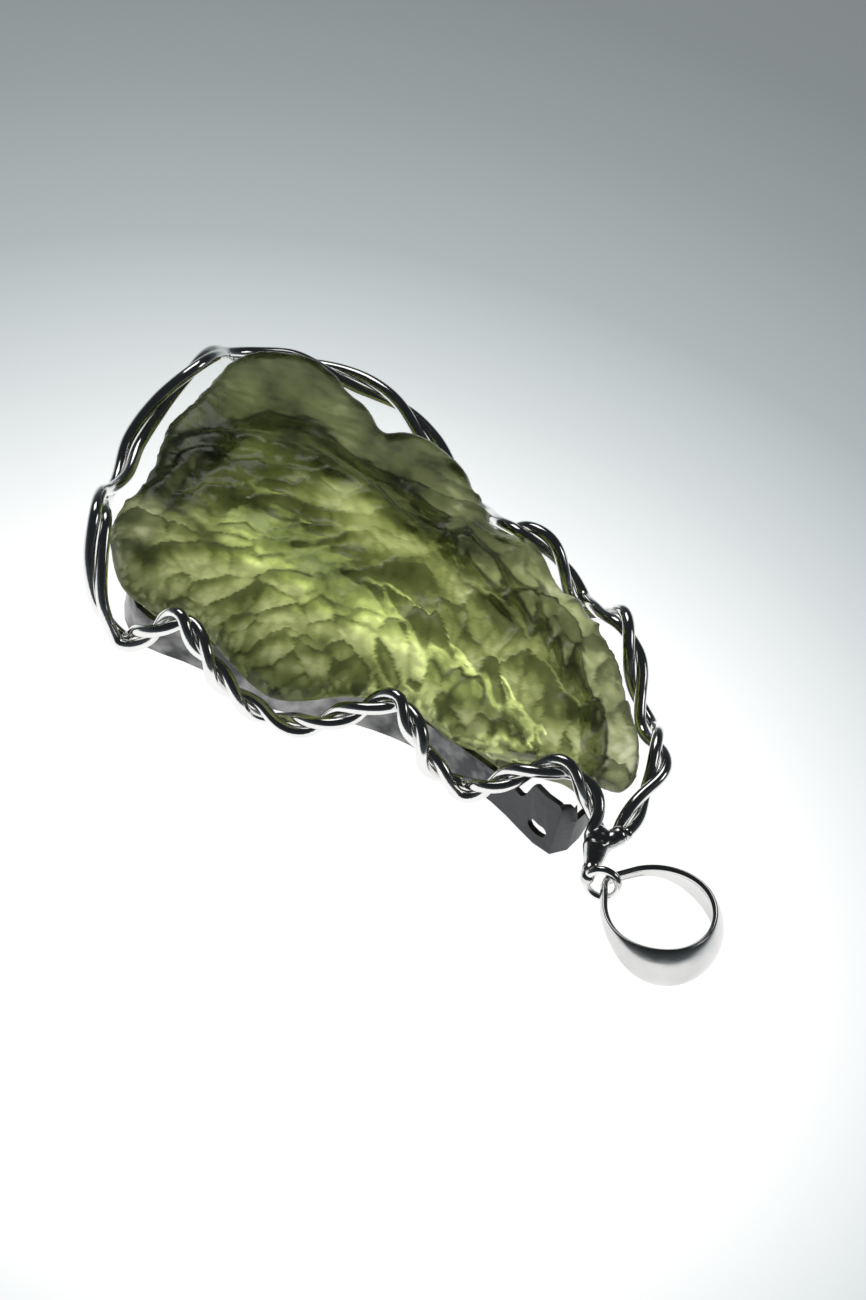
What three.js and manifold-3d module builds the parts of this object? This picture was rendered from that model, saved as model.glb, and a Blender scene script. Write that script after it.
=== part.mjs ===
// A raw moldavite set as a pendant, lying on its back.
// The crescent of green glass stands in a low sheet-silver band, two twisted silver strands wave
// round its edge, and a tapered bail hangs in a small eyelet at the tip.
// Millimetres, +Z up, +X along the pendant towards the bail, -Y towards the viewer.
import * as THREE from "three";
import { mergeVertices } from "three/addons/utils/BufferGeometryUtils.js";
import Module from "manifold-3d";

// Driving dimensions
const SPINE_START = [-18.5, 0.5]; // the middle line of the crescent, from its broad end
const SPINE_END = [10.5, 3.2]; // to near its tip
const STONE_STEPS_ROUND = 104;
const STONE_RINGS_TOP = 15;
const RIM_ROUNDING = 0.45; // how far the side of the stone bulges past its upper and lower rims
const SEAT_CLEARANCE = 0.4; // between the stone and the inside of the band
const SEAT_INSET = 0.7; // least distance of the seat inside the edge
const FLAT_SHARE = 0.25; // share of the seat that is the flat spot under the stone
const CROWN_HEIGHT = 8.9;
const CROWN_X = -14; // where the main face is highest
const CROWN_FALL_TO_TIP = 0.0045; // height lost per square millimetre on the way to the tip
const CROWN_FALL_TO_END = 0.012; // and on the way to the broad end
const FACE_SLOPE = 0.13; // of the main face, down towards the near side
const LIP_HEIGHT = 0.25; // along the ridge
const RIDGE_STEP = 1.7; // drop from the main face to the far shelf
const SCALLOP_DEPTH = 0.6;
const UNDERSIDE_PIT_DEPTH = 0.35;
const RIM_PIT_DEPTH = 0.35;
const SCALLOP_LENGTH = 3.4;
const SCALLOP_WIDTH = 2.3;
const BAND_HEIGHT = 2.8;
const BAND_CORNER_RISE = 2; // the wall stands higher at the corner by the tip
const BAND_CORNER = [11.1, 12.1, 14.1, 15]; // where the rise starts, is full and ends, along X
const BAND_THICKNESS = 0.4;
const SLOT_LENGTH = 1.6;
const SLOT_HEIGHT = 0.95;
const SLOT_PLACE = [13.0, -3.1, 1.45];
const STRAND_RADIUS = 0.4;
const STRAND_OFFSET = 0.46; // from the middle of the twist to the middle of a strand
const STRAND_SIDES = 6;
const STRAND_STEPS = 135;
const STEM_TOP = [16.95, -2.0, 2.6];
const STEM_FOOT = [17.65, -3.05, 2.1];
const STEM_TOP_RADIUS = 0.9;
const STEM_FOOT_RADIUS = 0.6;
const EYELET_CENTRE = [19.05, -3.6, 1.95];
const EYELET_RADIUS = 1.05; // to the middle of its wire
const EYELET_WIRE_RADIUS = 0.28;
const EYELET_LEAN = THREE.MathUtils.degToRad(15); // top of the ring back from upright
const EYELET_HEADING = THREE.MathUtils.degToRad(27);
const BAIL_HEADING = THREE.MathUtils.degToRad(10);
const BAIL_LOOP_RADIUS = 3.3; // inside the loop
const BAIL_LOOP_DISTANCE = 3.1; // from the hinge to the middle of the loop
const BAIL_NECK_RADIUS = 0.65; // inside the neck, round the hinge
const BAIL_THICKNESS = 0.4;
const BAIL_NECK_HEIGHT = 0.85;
const BAIL_END_HEIGHT = 3;
const BAIL_DOME_SHARE = 0.12; // bulge of the strip's middle, as a share of its height
const BAIL_FLARE_SHARE = 0.33; // its lower edge stands out by this share of its growth in height

// Edge of the stone seen from above, anticlockwise from the tip: x, y and height of the rim
const STONE_EDGE = [
  [15.6, 1.5, 3.9],
  [15.0, 3.6, 4.2],
  [13.7, 5.2, 4.4],
  [12.0, 6.2, 4.6],
  [10.1, 7.5, 4.8],
  [8.0, 8.7, 5.0],
  [6.2, 9.6, 5.1],
  [4.2, 10.1, 5.2],
  [2.0, 10.0, 5.4],
  [-0.4, 11.0, 5.6],
  [-2.3, 10.7, 5.6],
  [-3.9, 9.9, 5.6],
  [-6.7, 11.3, 5.8],
  [-9.2, 11.9, 6.0],
  [-11.5, 12.2, 6.0],
  [-13.4, 11.6, 6.0],
  [-14.5, 9.9, 6.0],
  [-15.6, 10.2, 6.0],
  [-16.7, 10.9, 6.0],
  [-18.4, 10.7, 6.1],
  [-20.3, 11.1, 6.3],
  [-22.9, 10.4, 6.5],
  [-24.6, 8.5, 6.6],
  [-25.3, 6.3, 6.7],
  [-24.8, 3.9, 6.8],
  [-24.3, 1.8, 6.8],
  [-24.1, -0.4, 6.6],
  [-23.4, -2.5, 6.4],
  [-22.2, -4.6, 6.1],
  [-21.3, -6.2, 6.0],
  [-21.0, -8.5, 5.9],
  [-20.2, -10.0, 5.5],
  [-18.6, -11.3, 5.0],
  [-16.9, -11.9, 4.5],
  [-14.8, -11.7, 4.1],
  [-12.3, -10.3, 4.0],
  [-10.2, -10.4, 4.0],
  [-8.5, -10.7, 4.0],
  [-6.5, -11.0, 4.0],
  [-4.4, -10.7, 4.0],
  [-3.0, -9.3, 4.0],
  [-1.9, -7.3, 4.0],
  [-0.2, -5.4, 4.0],
  [1.9, -4.3, 4.0],
  [3.8, -4.1, 4.0],
  [5.8, -4.1, 4.0],
  [7.6, -2.9, 4.0],
  [9.8, -1.0, 4.0],
  [11.8, 0.3, 4.0],
  [14.0, 0.8, 3.9],
];

// Line of the step between the main face and the far shelf: x, y
const RIDGE_LINE = [
  [-25.0, -5.5],
  [-22.6, -3.2],
  [-21.6, -0.9],
  [-19.3, 1.4],
  [-17.0, 2.9],
  [-14.1, 3.8],
  [-10.9, 4.4],
  [-7.9, 4.3],
  [-5.6, 5.0],
  [-4.4, 6.4],
];
const SHELF_END = -4.6; // the shelf runs out here, at the waist of the far edge

// Outer face of the band seen from above, anticlockwise from its corner at the tip
const BAND_LINE = [
  [14.4, -3.1],
  [14.9, -1.9],
  [14.1, 1.4],
  [12.4, 3.9],
  [9.0, 6.2],
  [5.0, 8.0],
  [0.5, 8.8],
  [-4.0, 8.2],
  [-8.0, 9.4],
  [-12.0, 9.4],
  [-15.5, 8.2],
  [-19.0, 8.7],
  [-22.0, 6.8],
  [-22.8, 3.6],
  [-21.9, -0.6],
  [-20.2, -4.4],
  [-19.3, -7.6],
  [-17.8, -10.4],
  [-15.3, -11.6],
  [-11.4, -10.1],
  [-8.4, -9.3],
  [-5.6, -8.7],
  [-3.4, -7.0],
  [-1.6, -5.5],
  [2.2, -3.7],
  [5.6, -3.2],
  [9.1, -2.9],
];

// Middle of the twisted strands, from the near side of the stem all round the stone to its far side
const TWIST_ROUTE = [
  [16.45, -1.55, 2.8],
  [15.6, -0.9, 3.5],
  [14.5, -0.6, 4.4],
  [12.4, -0.9, 5.3],
  [10.4, -2.8, 4.2],
  [9.1, -4.0, 2.7],
  [7.7, -4.5, 1.3],
  [5.4, -5.8, 2.9],
  [3.8, -6.0, 4.8],
  [1.8, -5.6, 5.5],
  [-0.6, -7.8, 3.5],
  [-2.6, -9.4, 1.7],
  [-5.2, -10.3, 1.2],
  [-7.4, -11.5, 2.6],
  [-9.8, -12.0, 4.7],
  [-12.0, -11.7, 5.5],
  [-13.8, -12.9, 3.0],
  [-15.4, -13.2, 1.3],
  [-17.4, -13.6, 3.3],
  [-19.0, -12.8, 5.5],
  [-20.7, -11.0, 7.2],
  [-22.0, -9.4, 6.6],
  [-23.0, -7.6, 5.0],
  [-24.0, -5.2, 4.4],
  [-25.4, -2.8, 5.0],
  [-25.8, -0.1, 6.8],
  [-25.9, 3.2, 8.1],
  [-26.6, 5.8, 6.9],
  [-26.8, 7.8, 5.0],
  [-26.2, 9.8, 4.2],
  [-24.3, 12.1, 4.2],
  [-21.0, 13.5, 4.4],
  [-17.0, 14.6, 4.3],
  [-13.8, 14.5, 3.5],
  [-10.0, 14.0, 2.0],
  [-7.2, 13.1, 2.6],
  [-5.2, 11.9, 4.2],
  [-3.3, 11.8, 5.7],
  [-1.3, 12.3, 5.6],
  [0.4, 12.5, 4.5],
  [2.5, 12.2, 3.2],
  [4.6, 11.8, 4.4],
  [6.4, 11.3, 5.7],
  [8.5, 10.3, 5.1],
  [10.3, 9.2, 3.6],
  [12.6, 7.8, 3.0],
  [14.5, 6.4, 4.2],
  [15.9, 4.8, 4.2],
  [16.4, 3.3, 3.6],
  [17.1, 1.2, 3.2],
  [17.6, -0.5, 2.95],
];

// Turns of the twist made so far, at shares of the way along the route. It is tight on the near
// side and loose round the broad end.
const TWIST_TURNS = [
  [0, 0],
  [0.33, 7.0],
  [0.6, 8.6],
  [0.76, 10.1],
  [1, 13.6],
];

// Library for joining and cutting solids
const wasm = await Module();
wasm.setup();

const { clamp, lerp, smoothstep } = THREE.MathUtils;

// Finishes

function glassMaterial() {
  return new THREE.MeshStandardMaterial({ color: 0x7d8c45, roughness: 0.2, metalness: 0 });
}

function silverMaterial() {
  return new THREE.MeshStandardMaterial({ color: 0xd6d8d9, roughness: 0.15, metalness: 1 });
}

// Shapes shared by several pieces

// Triangles across one ring of points, laid from its right-hand end to its left-hand end.
function zippedFaces(ring) {
  const count = ring.length;
  const rightmost = ring.reduce((best, point, i) => (point[0] > ring[best][0] ? i : best), 0);
  const faces = [];
  let far = rightmost;
  let near = (rightmost + count - 1) % count;
  for (let i = 0; i < count - 2; i++) {
    const nextFar = (far + 1) % count;
    const nextNear = (near + count - 1) % count;
    const takesFar = ring[nextFar][0] > ring[nextNear][0];
    faces.push([far, takesFar ? nextFar : nextNear, near]);
    if (takesFar) far = nextFar;
    else near = nextNear;
  }
  return faces;
}

// A closed surface from rings of points. Each ring joins the next. The last joins the first when
// the surface is a loop, and otherwise the first ring is filled on top and the last one below.
function surfaceOfRings(rings, isLoop = false) {
  const count = rings[0].length;
  const faces = [];
  for (let i = 0; i < rings.length - (isLoop ? 0 : 1); i++) {
    const here = i * count;
    const next = ((i + 1) % rings.length) * count;
    for (let j = 0; j < count; j++) {
      const k = (j + 1) % count;
      faces.push(here + j, next + j, next + k);
      faces.push(here + j, next + k, here + k);
    }
  }
  if (!isLoop) {
    const last = (rings.length - 1) * count;
    for (const [a, b, c] of zippedFaces(rings[0])) faces.push(a, b, c);
    for (const [a, b, c] of zippedFaces(rings.at(-1))) faces.push(last + a, last + c, last + b);
  }
  const geometry = new THREE.BufferGeometry();
  geometry.setAttribute("position", new THREE.Float32BufferAttribute(rings.flat(2), 3));
  geometry.setIndex(faces);
  geometry.computeVertexNormals();
  return geometry;
}

function solidOf(geometry) {
  const bare = geometry.clone();
  bare.deleteAttribute("normal");
  bare.deleteAttribute("uv");
  const merged = mergeVertices(bare, 1e-4);
  return new wasm.Manifold(
    new wasm.Mesh({
      numProp: 3,
      vertProperties: merged.getAttribute("position").array,
      triVerts: new Uint32Array(merged.index.array),
    }),
  );
}

function geometryOf(solid) {
  const mesh = solid.getMesh();
  const geometry = new THREE.BufferGeometry();
  geometry.setAttribute("position", new THREE.BufferAttribute(mesh.vertProperties, 3));
  geometry.setIndex(new THREE.BufferAttribute(mesh.triVerts, 1));
  geometry.computeVertexNormals();
  return geometry;
}

function closedCurve(points) {
  const vectors = points.map(([x, y, z = 0]) => new THREE.Vector3(x, y, z));
  return new THREE.CatmullRomCurve3(vectors, true, "centripetal");
}

// Stone

// Distance from a point inside a closed line to that line, in a given direction.
function reachOf(line, [x, y], [dx, dy]) {
  let reach = 0;
  for (let i = 0; i < line.length; i++) {
    const a = line[i];
    const b = line[(i + 1) % line.length];
    const ex = b.x - a.x;
    const ey = b.y - a.y;
    const cross = dx * ey - dy * ex;
    const along = ((a.x - x) * ey - (a.y - y) * ex) / cross;
    const share = ((a.x - x) * dy - (a.y - y) * dx) / cross;
    if (along > 0 && share >= 0 && share < 1) reach = Math.max(reach, along);
  }
  return reach;
}

function ridgeAt(x) {
  const next = RIDGE_LINE.findIndex((point) => point[0] > x);
  if (next < 0) return RIDGE_LINE.at(-1)[1];
  if (next === 0) return RIDGE_LINE[0][1];
  const [x0, y0] = RIDGE_LINE[next - 1];
  const [x1, y1] = RIDGE_LINE[next];
  return lerp(y0, y1, (x - x0) / (x1 - x0));
}

// A number from 0 to 1 that is always the same for the same cell.
function cellNumber(column, row, salt) {
  const wave = Math.sin(column * 127.1 + row * 311.7 + salt * 74.7) * 43758.5453;
  return wave - Math.floor(wave);
}

// Depth of the natural scallops, from 0 on the sharp rims between them to 1 in the middle of each.
// They lie along the crescent at the broad end and slant across it towards the tip.
function scallopDepth(x, y) {
  const turn = lerp(0.15, -0.9, smoothstep(x, -16, 6));
  const along = (x * Math.cos(turn) + y * Math.sin(turn)) / SCALLOP_LENGTH;
  const across = (-x * Math.sin(turn) + y * Math.cos(turn)) / SCALLOP_WIDTH;
  const column = Math.floor(along);
  const row = Math.floor(across);
  let nearest = Infinity;
  for (let i = column - 1; i <= column + 1; i++) {
    for (let j = row - 1; j <= row + 1; j++) {
      const px = i + 0.2 + 0.6 * cellNumber(i, j, 1);
      const py = j + 0.2 + 0.6 * cellNumber(i, j, 2);
      nearest = Math.min(nearest, Math.hypot(along - px, across - py));
    }
  }
  return clamp(1 - nearest * nearest * 1.6, 0, 1);
}

// Height of the main face and, a step lower beyond the ridge, of the far shelf.
function faceHeight(x, y) {
  const fallShare = x > CROWN_X ? CROWN_FALL_TO_TIP : CROWN_FALL_TO_END;
  const crown = CROWN_HEIGHT - fallShare * (x - CROWN_X) ** 2;
  const beyond = y - ridgeAt(x);
  const shelf = smoothstep(beyond, -0.4, 1.2) * smoothstep(SHELF_END - x, -0.6, 1.8);
  const fall = FACE_SLOPE * Math.max(0, -beyond);
  const lip = LIP_HEIGHT * Math.exp(-((beyond + 0.5) ** 2));
  const pits = SCALLOP_DEPTH * scallopDepth(x, y) * (1 - 0.75 * shelf);
  return crown - fall + lip - RIDGE_STEP * shelf - pits;
}

// Straight lines in plan from the spine of the crescent out to each point of its edge.
function stoneRays() {
  const [ax, ay] = SPINE_START;
  const spine = [SPINE_END[0] - ax, SPINE_END[1] - ay];
  const seatLine = bandInside();
  const edge = closedCurve(STONE_EDGE).getSpacedPoints(STONE_STEPS_ROUND).slice(0, -1);
  return edge.map(({ x, y, z }) => {
    const along = ((x - ax) * spine[0] + (y - ay) * spine[1]) / (spine[0] ** 2 + spine[1] ** 2);
    const share = clamp(along, 0, 1);
    const start = [ax + share * spine[0], ay + share * spine[1]];
    const rim = Math.hypot(x - start[0], y - start[1]);
    const heading = [(x - start[0]) / rim, (y - start[1]) / rim];
    const seat = Math.min(reachOf(seatLine, start, heading) - SEAT_CLEARANCE, rim - SEAT_INSET);
    return { start, heading, rim, seat, height: z };
  });
}

function pointOn({ start, heading }, reach, z) {
  return [start[0] + heading[0] * reach, start[1] + heading[1] * reach, z];
}

function stoneGeometry() {
  const rays = stoneRays();
  const rings = [];
  for (let i = 0; i < STONE_RINGS_TOP; i++) {
    const share = lerp(0.04, 1, i / (STONE_RINGS_TOP - 1));
    rings.push(
      rays.map((ray) => {
        const [x, y] = pointOn(ray, share * (ray.rim - RIM_ROUNDING), 0);
        const swell = (1 - share ** 5) ** 0.6;
        const shoulder = ray.height + 0.8;
        return [x, y, lerp(shoulder, Math.max(faceHeight(x, y), shoulder), swell)];
      }),
    );
  }
  rings.push(
    rays.map((ray) => {
      const [x, y] = pointOn(ray, ray.rim, 0);
      return pointOn(ray, ray.rim - RIM_PIT_DEPTH * scallopDepth(x, y), ray.height);
    }),
  );
  rings.push(rays.map((ray) => pointOn(ray, ray.rim - 0.35, Math.max(ray.height - 1, 3.45))));
  rings.push(rays.map((ray) => pointOn(ray, ray.seat, 3.2)));
  rings.push(rays.map((ray) => pointOn(ray, ray.seat - 0.1, 1.8)));
  for (const [share, z] of [[0.92, 0.75], [0.76, 0.3], [0.6, 0.15], [0.42, 0.05]]) {
    rings.push(
      rays.map((ray) => {
        const [x, y] = pointOn(ray, ray.seat * share, 0);
        return [x, y, z + UNDERSIDE_PIT_DEPTH * scallopDepth(x, y)];
      }),
    );
  }
  rings.push(rays.map((ray) => pointOn(ray, ray.seat * FLAT_SHARE, 0)));
  return surfaceOfRings(rings);
}

// Silver sheet band

function bandOutside() {
  return closedCurve(BAND_LINE).getSpacedPoints(72).slice(0, -1);
}

function bandInside() {
  const outside = bandOutside();
  return outside.map((point, i) => {
    const before = outside.at(i - 1);
    const after = outside[(i + 1) % outside.length];
    const along = after.clone().sub(before).normalize();
    return new THREE.Vector3(point.x - along.y * BAND_THICKNESS, point.y + along.x * BAND_THICKNESS, 0);
  });
}

function slotGeometry() {
  const half = (SLOT_LENGTH - SLOT_HEIGHT) / 2;
  const outline = new THREE.Shape();
  outline.absarc(half, 0, SLOT_HEIGHT / 2, -Math.PI / 2, Math.PI / 2);
  outline.absarc(-half, 0, SLOT_HEIGHT / 2, Math.PI / 2, Math.PI * 1.5);
  const depth = 4 * BAND_THICKNESS;
  const slot = new THREE.ExtrudeGeometry(outline, { depth, bevelEnabled: false, curveSegments: 5 });
  slot.translate(0, 0, -depth / 2);
  slot.rotateX(Math.PI / 2);
  slot.translate(...SLOT_PLACE);
  return slot;
}

// Everything above the edge of the wall: level all round, except at the corner by the tip.
function aboveWall() {
  const [start, full, last, end] = BAND_CORNER;
  const reach = 40; // more than the pendant is long
  const farFrom = -1.6; // the wall is level from this Y on
  const top = BAND_HEIGHT + BAND_CORNER_RISE;
  const outline = new THREE.Shape();
  outline.moveTo(-reach, BAND_HEIGHT);
  outline.lineTo(start, BAND_HEIGHT);
  outline.bezierCurveTo((start + full) / 2, BAND_HEIGHT, (start + full) / 2, top, full, top);
  outline.lineTo(last, top);
  outline.bezierCurveTo((last + end) / 2, top, (last + end) / 2, BAND_HEIGHT, end, BAND_HEIGHT);
  outline.lineTo(reach, BAND_HEIGHT);
  outline.lineTo(reach, 2 * top);
  outline.lineTo(-reach, 2 * top);
  const space = new THREE.ExtrudeGeometry(outline, { depth: reach, bevelEnabled: false, curveSegments: 4 });
  space.rotateX(Math.PI / 2);
  const farSide = new THREE.BoxGeometry(2 * reach, reach, 2 * top);
  farSide.translate(0, reach / 2 + farFrom, BAND_HEIGHT + top);
  return solidOf(space).add(solidOf(farSide));
}

function bandGeometry() {
  const outline = new THREE.Shape(bandOutside().map((point) => new THREE.Vector2(point.x, point.y)));
  outline.holes.push(new THREE.Path(bandInside().map((point) => new THREE.Vector2(point.x, point.y))));
  const depth = BAND_HEIGHT + BAND_CORNER_RISE;
  const wall = new THREE.ExtrudeGeometry(outline, { depth, bevelEnabled: false });
  return geometryOf(solidOf(wall).subtract(aboveWall()).subtract(solidOf(slotGeometry())));
}

// Twisted strands

function turnsAt(share) {
  const next = TWIST_TURNS.findIndex(([end]) => end >= share);
  if (next <= 0) return 0;
  const [start, before] = TWIST_TURNS[next - 1];
  const [end, after] = TWIST_TURNS[next];
  return lerp(before, after, (share - start) / (end - start));
}

// Middle line of one strand: it winds round the route, half a turn away from the other one.
class StrandCurve extends THREE.Curve {
  constructor(route, startAngle) {
    super();
    this.route = route;
    this.startAngle = startAngle;
    this.frames = route.computeFrenetFrames(STRAND_STEPS, false);
  }

  getPoint(share) {
    const place = Math.round(share * STRAND_STEPS);
    const angle = this.startAngle + turnsAt(share) * 2 * Math.PI;
    const point = this.route.getPointAt(share);
    point.addScaledVector(this.frames.normals[place], STRAND_OFFSET * Math.cos(angle));
    point.addScaledVector(this.frames.binormals[place], STRAND_OFFSET * Math.sin(angle));
    return point;
  }
}

function strandGeometry(startAngle) {
  const vectors = TWIST_ROUTE.map((point) => new THREE.Vector3(...point));
  const route = new THREE.CatmullRomCurve3(vectors, false, "centripetal");
  const strand = new StrandCurve(route, startAngle);
  const middle = [];
  for (let i = 0; i <= STRAND_STEPS; i++) {
    middle.push(strand.getPoint(i / STRAND_STEPS));
  }
  const path = new THREE.CatmullRomCurve3(middle, false, "centripetal");
  const section = new THREE.Shape();
  section.absarc(0, 0, STRAND_RADIUS, 0, 2 * Math.PI);
  return new THREE.ExtrudeGeometry(section, {
    steps: STRAND_STEPS,
    curveSegments: STRAND_SIDES / 2, // a full circle takes twice as many
    extrudePath: path,
  });
}

// Stem, eyelet and bail

function stemMesh() {
  const top = new THREE.Vector3(...STEM_TOP);
  const foot = new THREE.Vector3(...STEM_FOOT);
  const length = top.distanceTo(foot);
  const shape = new THREE.CylinderGeometry(STEM_TOP_RADIUS, STEM_FOOT_RADIUS, length, 14);
  const stem = new THREE.Mesh(shape, silverMaterial());
  stem.name = "stem";
  stem.position.copy(top).lerp(foot, 0.5);
  stem.quaternion.setFromUnitVectors(new THREE.Vector3(0, 1, 0), top.sub(foot).normalize());
  return stem;
}

function eyeletMesh() {
  const ring = new THREE.TorusGeometry(EYELET_RADIUS, EYELET_WIRE_RADIUS, 8, 24);
  const eyelet = new THREE.Mesh(ring, silverMaterial());
  eyelet.name = "eyelet";
  eyelet.position.set(...EYELET_CENTRE);
  eyelet.rotation.set(Math.PI / 2 - EYELET_LEAN, 0, EYELET_HEADING, "ZYX");
  return eyelet;
}

// Teardrop round the neck and the loop, at a distance outside their inner faces.
function bailOutline(outset) {
  const neck = BAIL_NECK_RADIUS + outset;
  const loop = BAIL_LOOP_RADIUS + outset;
  const slant = Math.PI / 2 + Math.asin((loop - neck) / BAIL_LOOP_DISTANCE);
  const points = [];
  const arc = (middle, radius, from, to, steps) => {
    for (let i = 0; i <= steps; i++) {
      const angle = lerp(from, to, i / steps);
      points.push([middle + radius * Math.cos(angle), radius * Math.sin(angle)]);
    }
  };
  arc(BAIL_LOOP_DISTANCE, loop, -slant, slant, 36);
  arc(0, neck, slant, 2 * Math.PI - slant, 8);
  return points;
}

function bailGeometry() {
  const inside = bailOutline(0);
  const outside = bailOutline(BAIL_THICKNESS);
  const neckEnd = -BAIL_NECK_RADIUS - BAIL_THICKNESS;
  const loopEnd = BAIL_LOOP_DISTANCE + BAIL_LOOP_RADIUS + BAIL_THICKNESS;
  const hinge = EYELET_CENTRE[2];
  const edges = (x) => {
    const share = smoothstep(x, neckEnd + 1.4, loopEnd - 1);
    const low = lerp(hinge - BAIL_NECK_HEIGHT / 2, 0, share);
    const high = lerp(hinge + BAIL_NECK_HEIGHT / 2, BAIL_END_HEIGHT, share);
    return [low, high];
  };
  const rings = inside.map(([ix, iy], i) => {
    const [ox, oy] = outside[i];
    const [low, high] = edges(ix);
    const middle = (low + high) / 2;
    const outward = [(ox - ix) / BAIL_THICKNESS, (oy - iy) / BAIL_THICKNESS];
    const flare = BAIL_FLARE_SHARE * (high - low - BAIL_NECK_HEIGHT);
    const bulge = BAIL_DOME_SHARE * (high - low) + flare / 2;
    const [fx, fy] = outward.map((value) => value * flare);
    const [bx, by] = outward.map((value) => value * bulge);
    return [
      [ix + fx, iy + fy, low],
      [ox + fx, oy + fy, low],
      [ox + bx, oy + by, middle],
      [ox, oy, high],
      [ix, iy, high],
      [ix + bx, iy + by, middle],
    ];
  });
  return surfaceOfRings(rings, true);
}

function hingePlace() {
  const [x, y] = EYELET_CENTRE;
  return [
    x + EYELET_RADIUS * Math.cos(EYELET_HEADING),
    y + EYELET_RADIUS * Math.sin(EYELET_HEADING),
  ];
}

function bailMesh() {
  const bail = new THREE.Mesh(bailGeometry(), silverMaterial());
  bail.name = "bail";
  bail.position.set(...hingePlace(), 0);
  bail.rotation.z = BAIL_HEADING;
  return bail;
}

function named(name, geometry, material) {
  const mesh = new THREE.Mesh(geometry, material);
  mesh.name = name;
  return mesh;
}

// The pendant

const setting = new THREE.Group();
setting.add(
  named("band", bandGeometry(), silverMaterial()),
  named("wire_strand_a", strandGeometry(0), silverMaterial()),
  named("wire_strand_b", strandGeometry(Math.PI), silverMaterial()),
  stemMesh(),
  eyeletMesh(),
);

const pendant = new THREE.Group();
pendant.add(named("stone", stoneGeometry(), glassMaterial()), setting, bailMesh());

// The origin is the middle of the whole pendant, on the surface that it lies on.
const box = new THREE.Box3().setFromObject(pendant, true);
const middle = box.getCenter(new THREE.Vector3());
pendant.position.set(-middle.x, -middle.y, -box.min.z);

export default pendant;
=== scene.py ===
import math
import bmesh
import bpy
from mathutils import Matrix, Vector, noise


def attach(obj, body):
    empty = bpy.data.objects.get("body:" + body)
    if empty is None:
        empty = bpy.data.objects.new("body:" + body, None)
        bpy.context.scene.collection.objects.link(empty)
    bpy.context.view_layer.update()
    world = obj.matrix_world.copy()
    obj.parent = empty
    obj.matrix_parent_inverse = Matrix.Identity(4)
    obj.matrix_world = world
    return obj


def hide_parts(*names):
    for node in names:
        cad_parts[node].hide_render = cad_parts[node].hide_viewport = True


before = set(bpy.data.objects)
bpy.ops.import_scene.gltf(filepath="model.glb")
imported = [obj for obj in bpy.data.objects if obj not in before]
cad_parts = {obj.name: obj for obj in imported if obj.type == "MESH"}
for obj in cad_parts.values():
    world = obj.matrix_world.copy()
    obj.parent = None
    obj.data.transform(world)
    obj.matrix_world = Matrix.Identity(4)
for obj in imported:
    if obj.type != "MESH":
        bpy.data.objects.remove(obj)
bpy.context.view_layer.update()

# Stone: one raw piece of clear olive-green natural glass, shaped like a crescent. The ground has
# etched all of it into overlapping scallops with thin rims, and it is neither cut nor polished.
# It stands in the band, and the silver strands grip its edge.

MM = 0.001
# The sizes below are taken on the pendant as it was drawn, and this moves them to its middle.
DRAWING_MIDDLE = Vector((0.104, -0.652, 0)) * MM
STONE_SKIN = 0.2 * MM  # spacing of the points of its surface
STONE_TOP = 9.05 * MM
STONE_SMOOTHING = 9  # rounds that soften the solid's facets before the etching
STONE_SWELL = 0.3  # mm that its upper part grows by, so that the rims come out at full size


def link(piece):
    bpy.context.scene.collection.objects.link(piece)
    return piece


def finished_mesh(piece):
    """Applies the modifiers of a piece."""
    evaluated = piece.evaluated_get(bpy.context.evaluated_depsgraph_get())
    mesh = bpy.data.meshes.new_from_object(evaluated)
    piece.modifiers.clear()
    piece.data = mesh


def welded_copy(node_name, piece_name):
    """The solid of one CAD node with its loose triangles joined."""
    shell = bmesh.new()
    shell.from_mesh(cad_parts[node_name].data)
    bmesh.ops.remove_doubles(shell, verts=shell.verts, dist=1e-6)
    mesh = bpy.data.meshes.new(piece_name)
    shell.to_mesh(mesh)
    shell.free()
    return link(bpy.data.objects.new(piece_name, mesh))


def step(value, low, high):
    """Rises smoothly from 0 at low to 1 at high."""
    share = min(1, max(0, (value - low) / (high - low)))
    return share * share * (3 - 2 * share)


# Line of the step between the main face and the duller shelf behind it
RIDGE_LINE = [
    (-25, -5.5), (-22.6, -3.2), (-21.6, -0.9), (-19.3, 1.4), (-17, 2.9), (-14.1, 3.8),
    (-10.9, 4.4), (-7.9, 4.3), (-5.6, 5), (-4.4, 6.4),
]


def ridge_at(x):
    """Y of the ridge line at an X, both in mm."""
    for (start, low), (end, high) in zip(RIDGE_LINE, RIDGE_LINE[1:]):
        if x <= end:
            return low + (high - low) * max(0, x - start) / (end - start)
    return RIDGE_LINE[-1][1]


WARP = 0.9  # mm that the scallops' pattern is bent by
WARP_SIZE = 2.6  # mm, of the bends


def scallop(x, y, z, length, width):
    """How deep a point lies in its scallop, from 0 on the rim to 1 in the middle, how far it lies
    from the seam with the next one and how far towards the near side from the middle, in mm."""
    turn = 0.15 - 1.05 * step(x, -16, 6)
    spot = Vector((x, y, z)) / WARP_SIZE
    x += WARP * noise.noise(spot)
    y += WARP * noise.noise(spot + Vector((31, 17, 5)))
    cos, sin = math.cos(turn), math.sin(turn)
    along = x * cos + y * sin
    across = y * cos - x * sin
    cell = Vector((along / length, across / width, 0.8 * z / width))
    distances, middles = noise.voronoi(cell)
    along = (cell.x - middles[0].x) * length
    across = (cell.y - middles[0].y) * width
    nearer = 0.53 * (along * cos - across * sin) - 0.85 * (along * sin + across * cos)
    seam = (distances[1] - distances[0]) * width
    return 1 - min(1, 3.2 * distances[0] ** 2), seam, nearer


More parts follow.
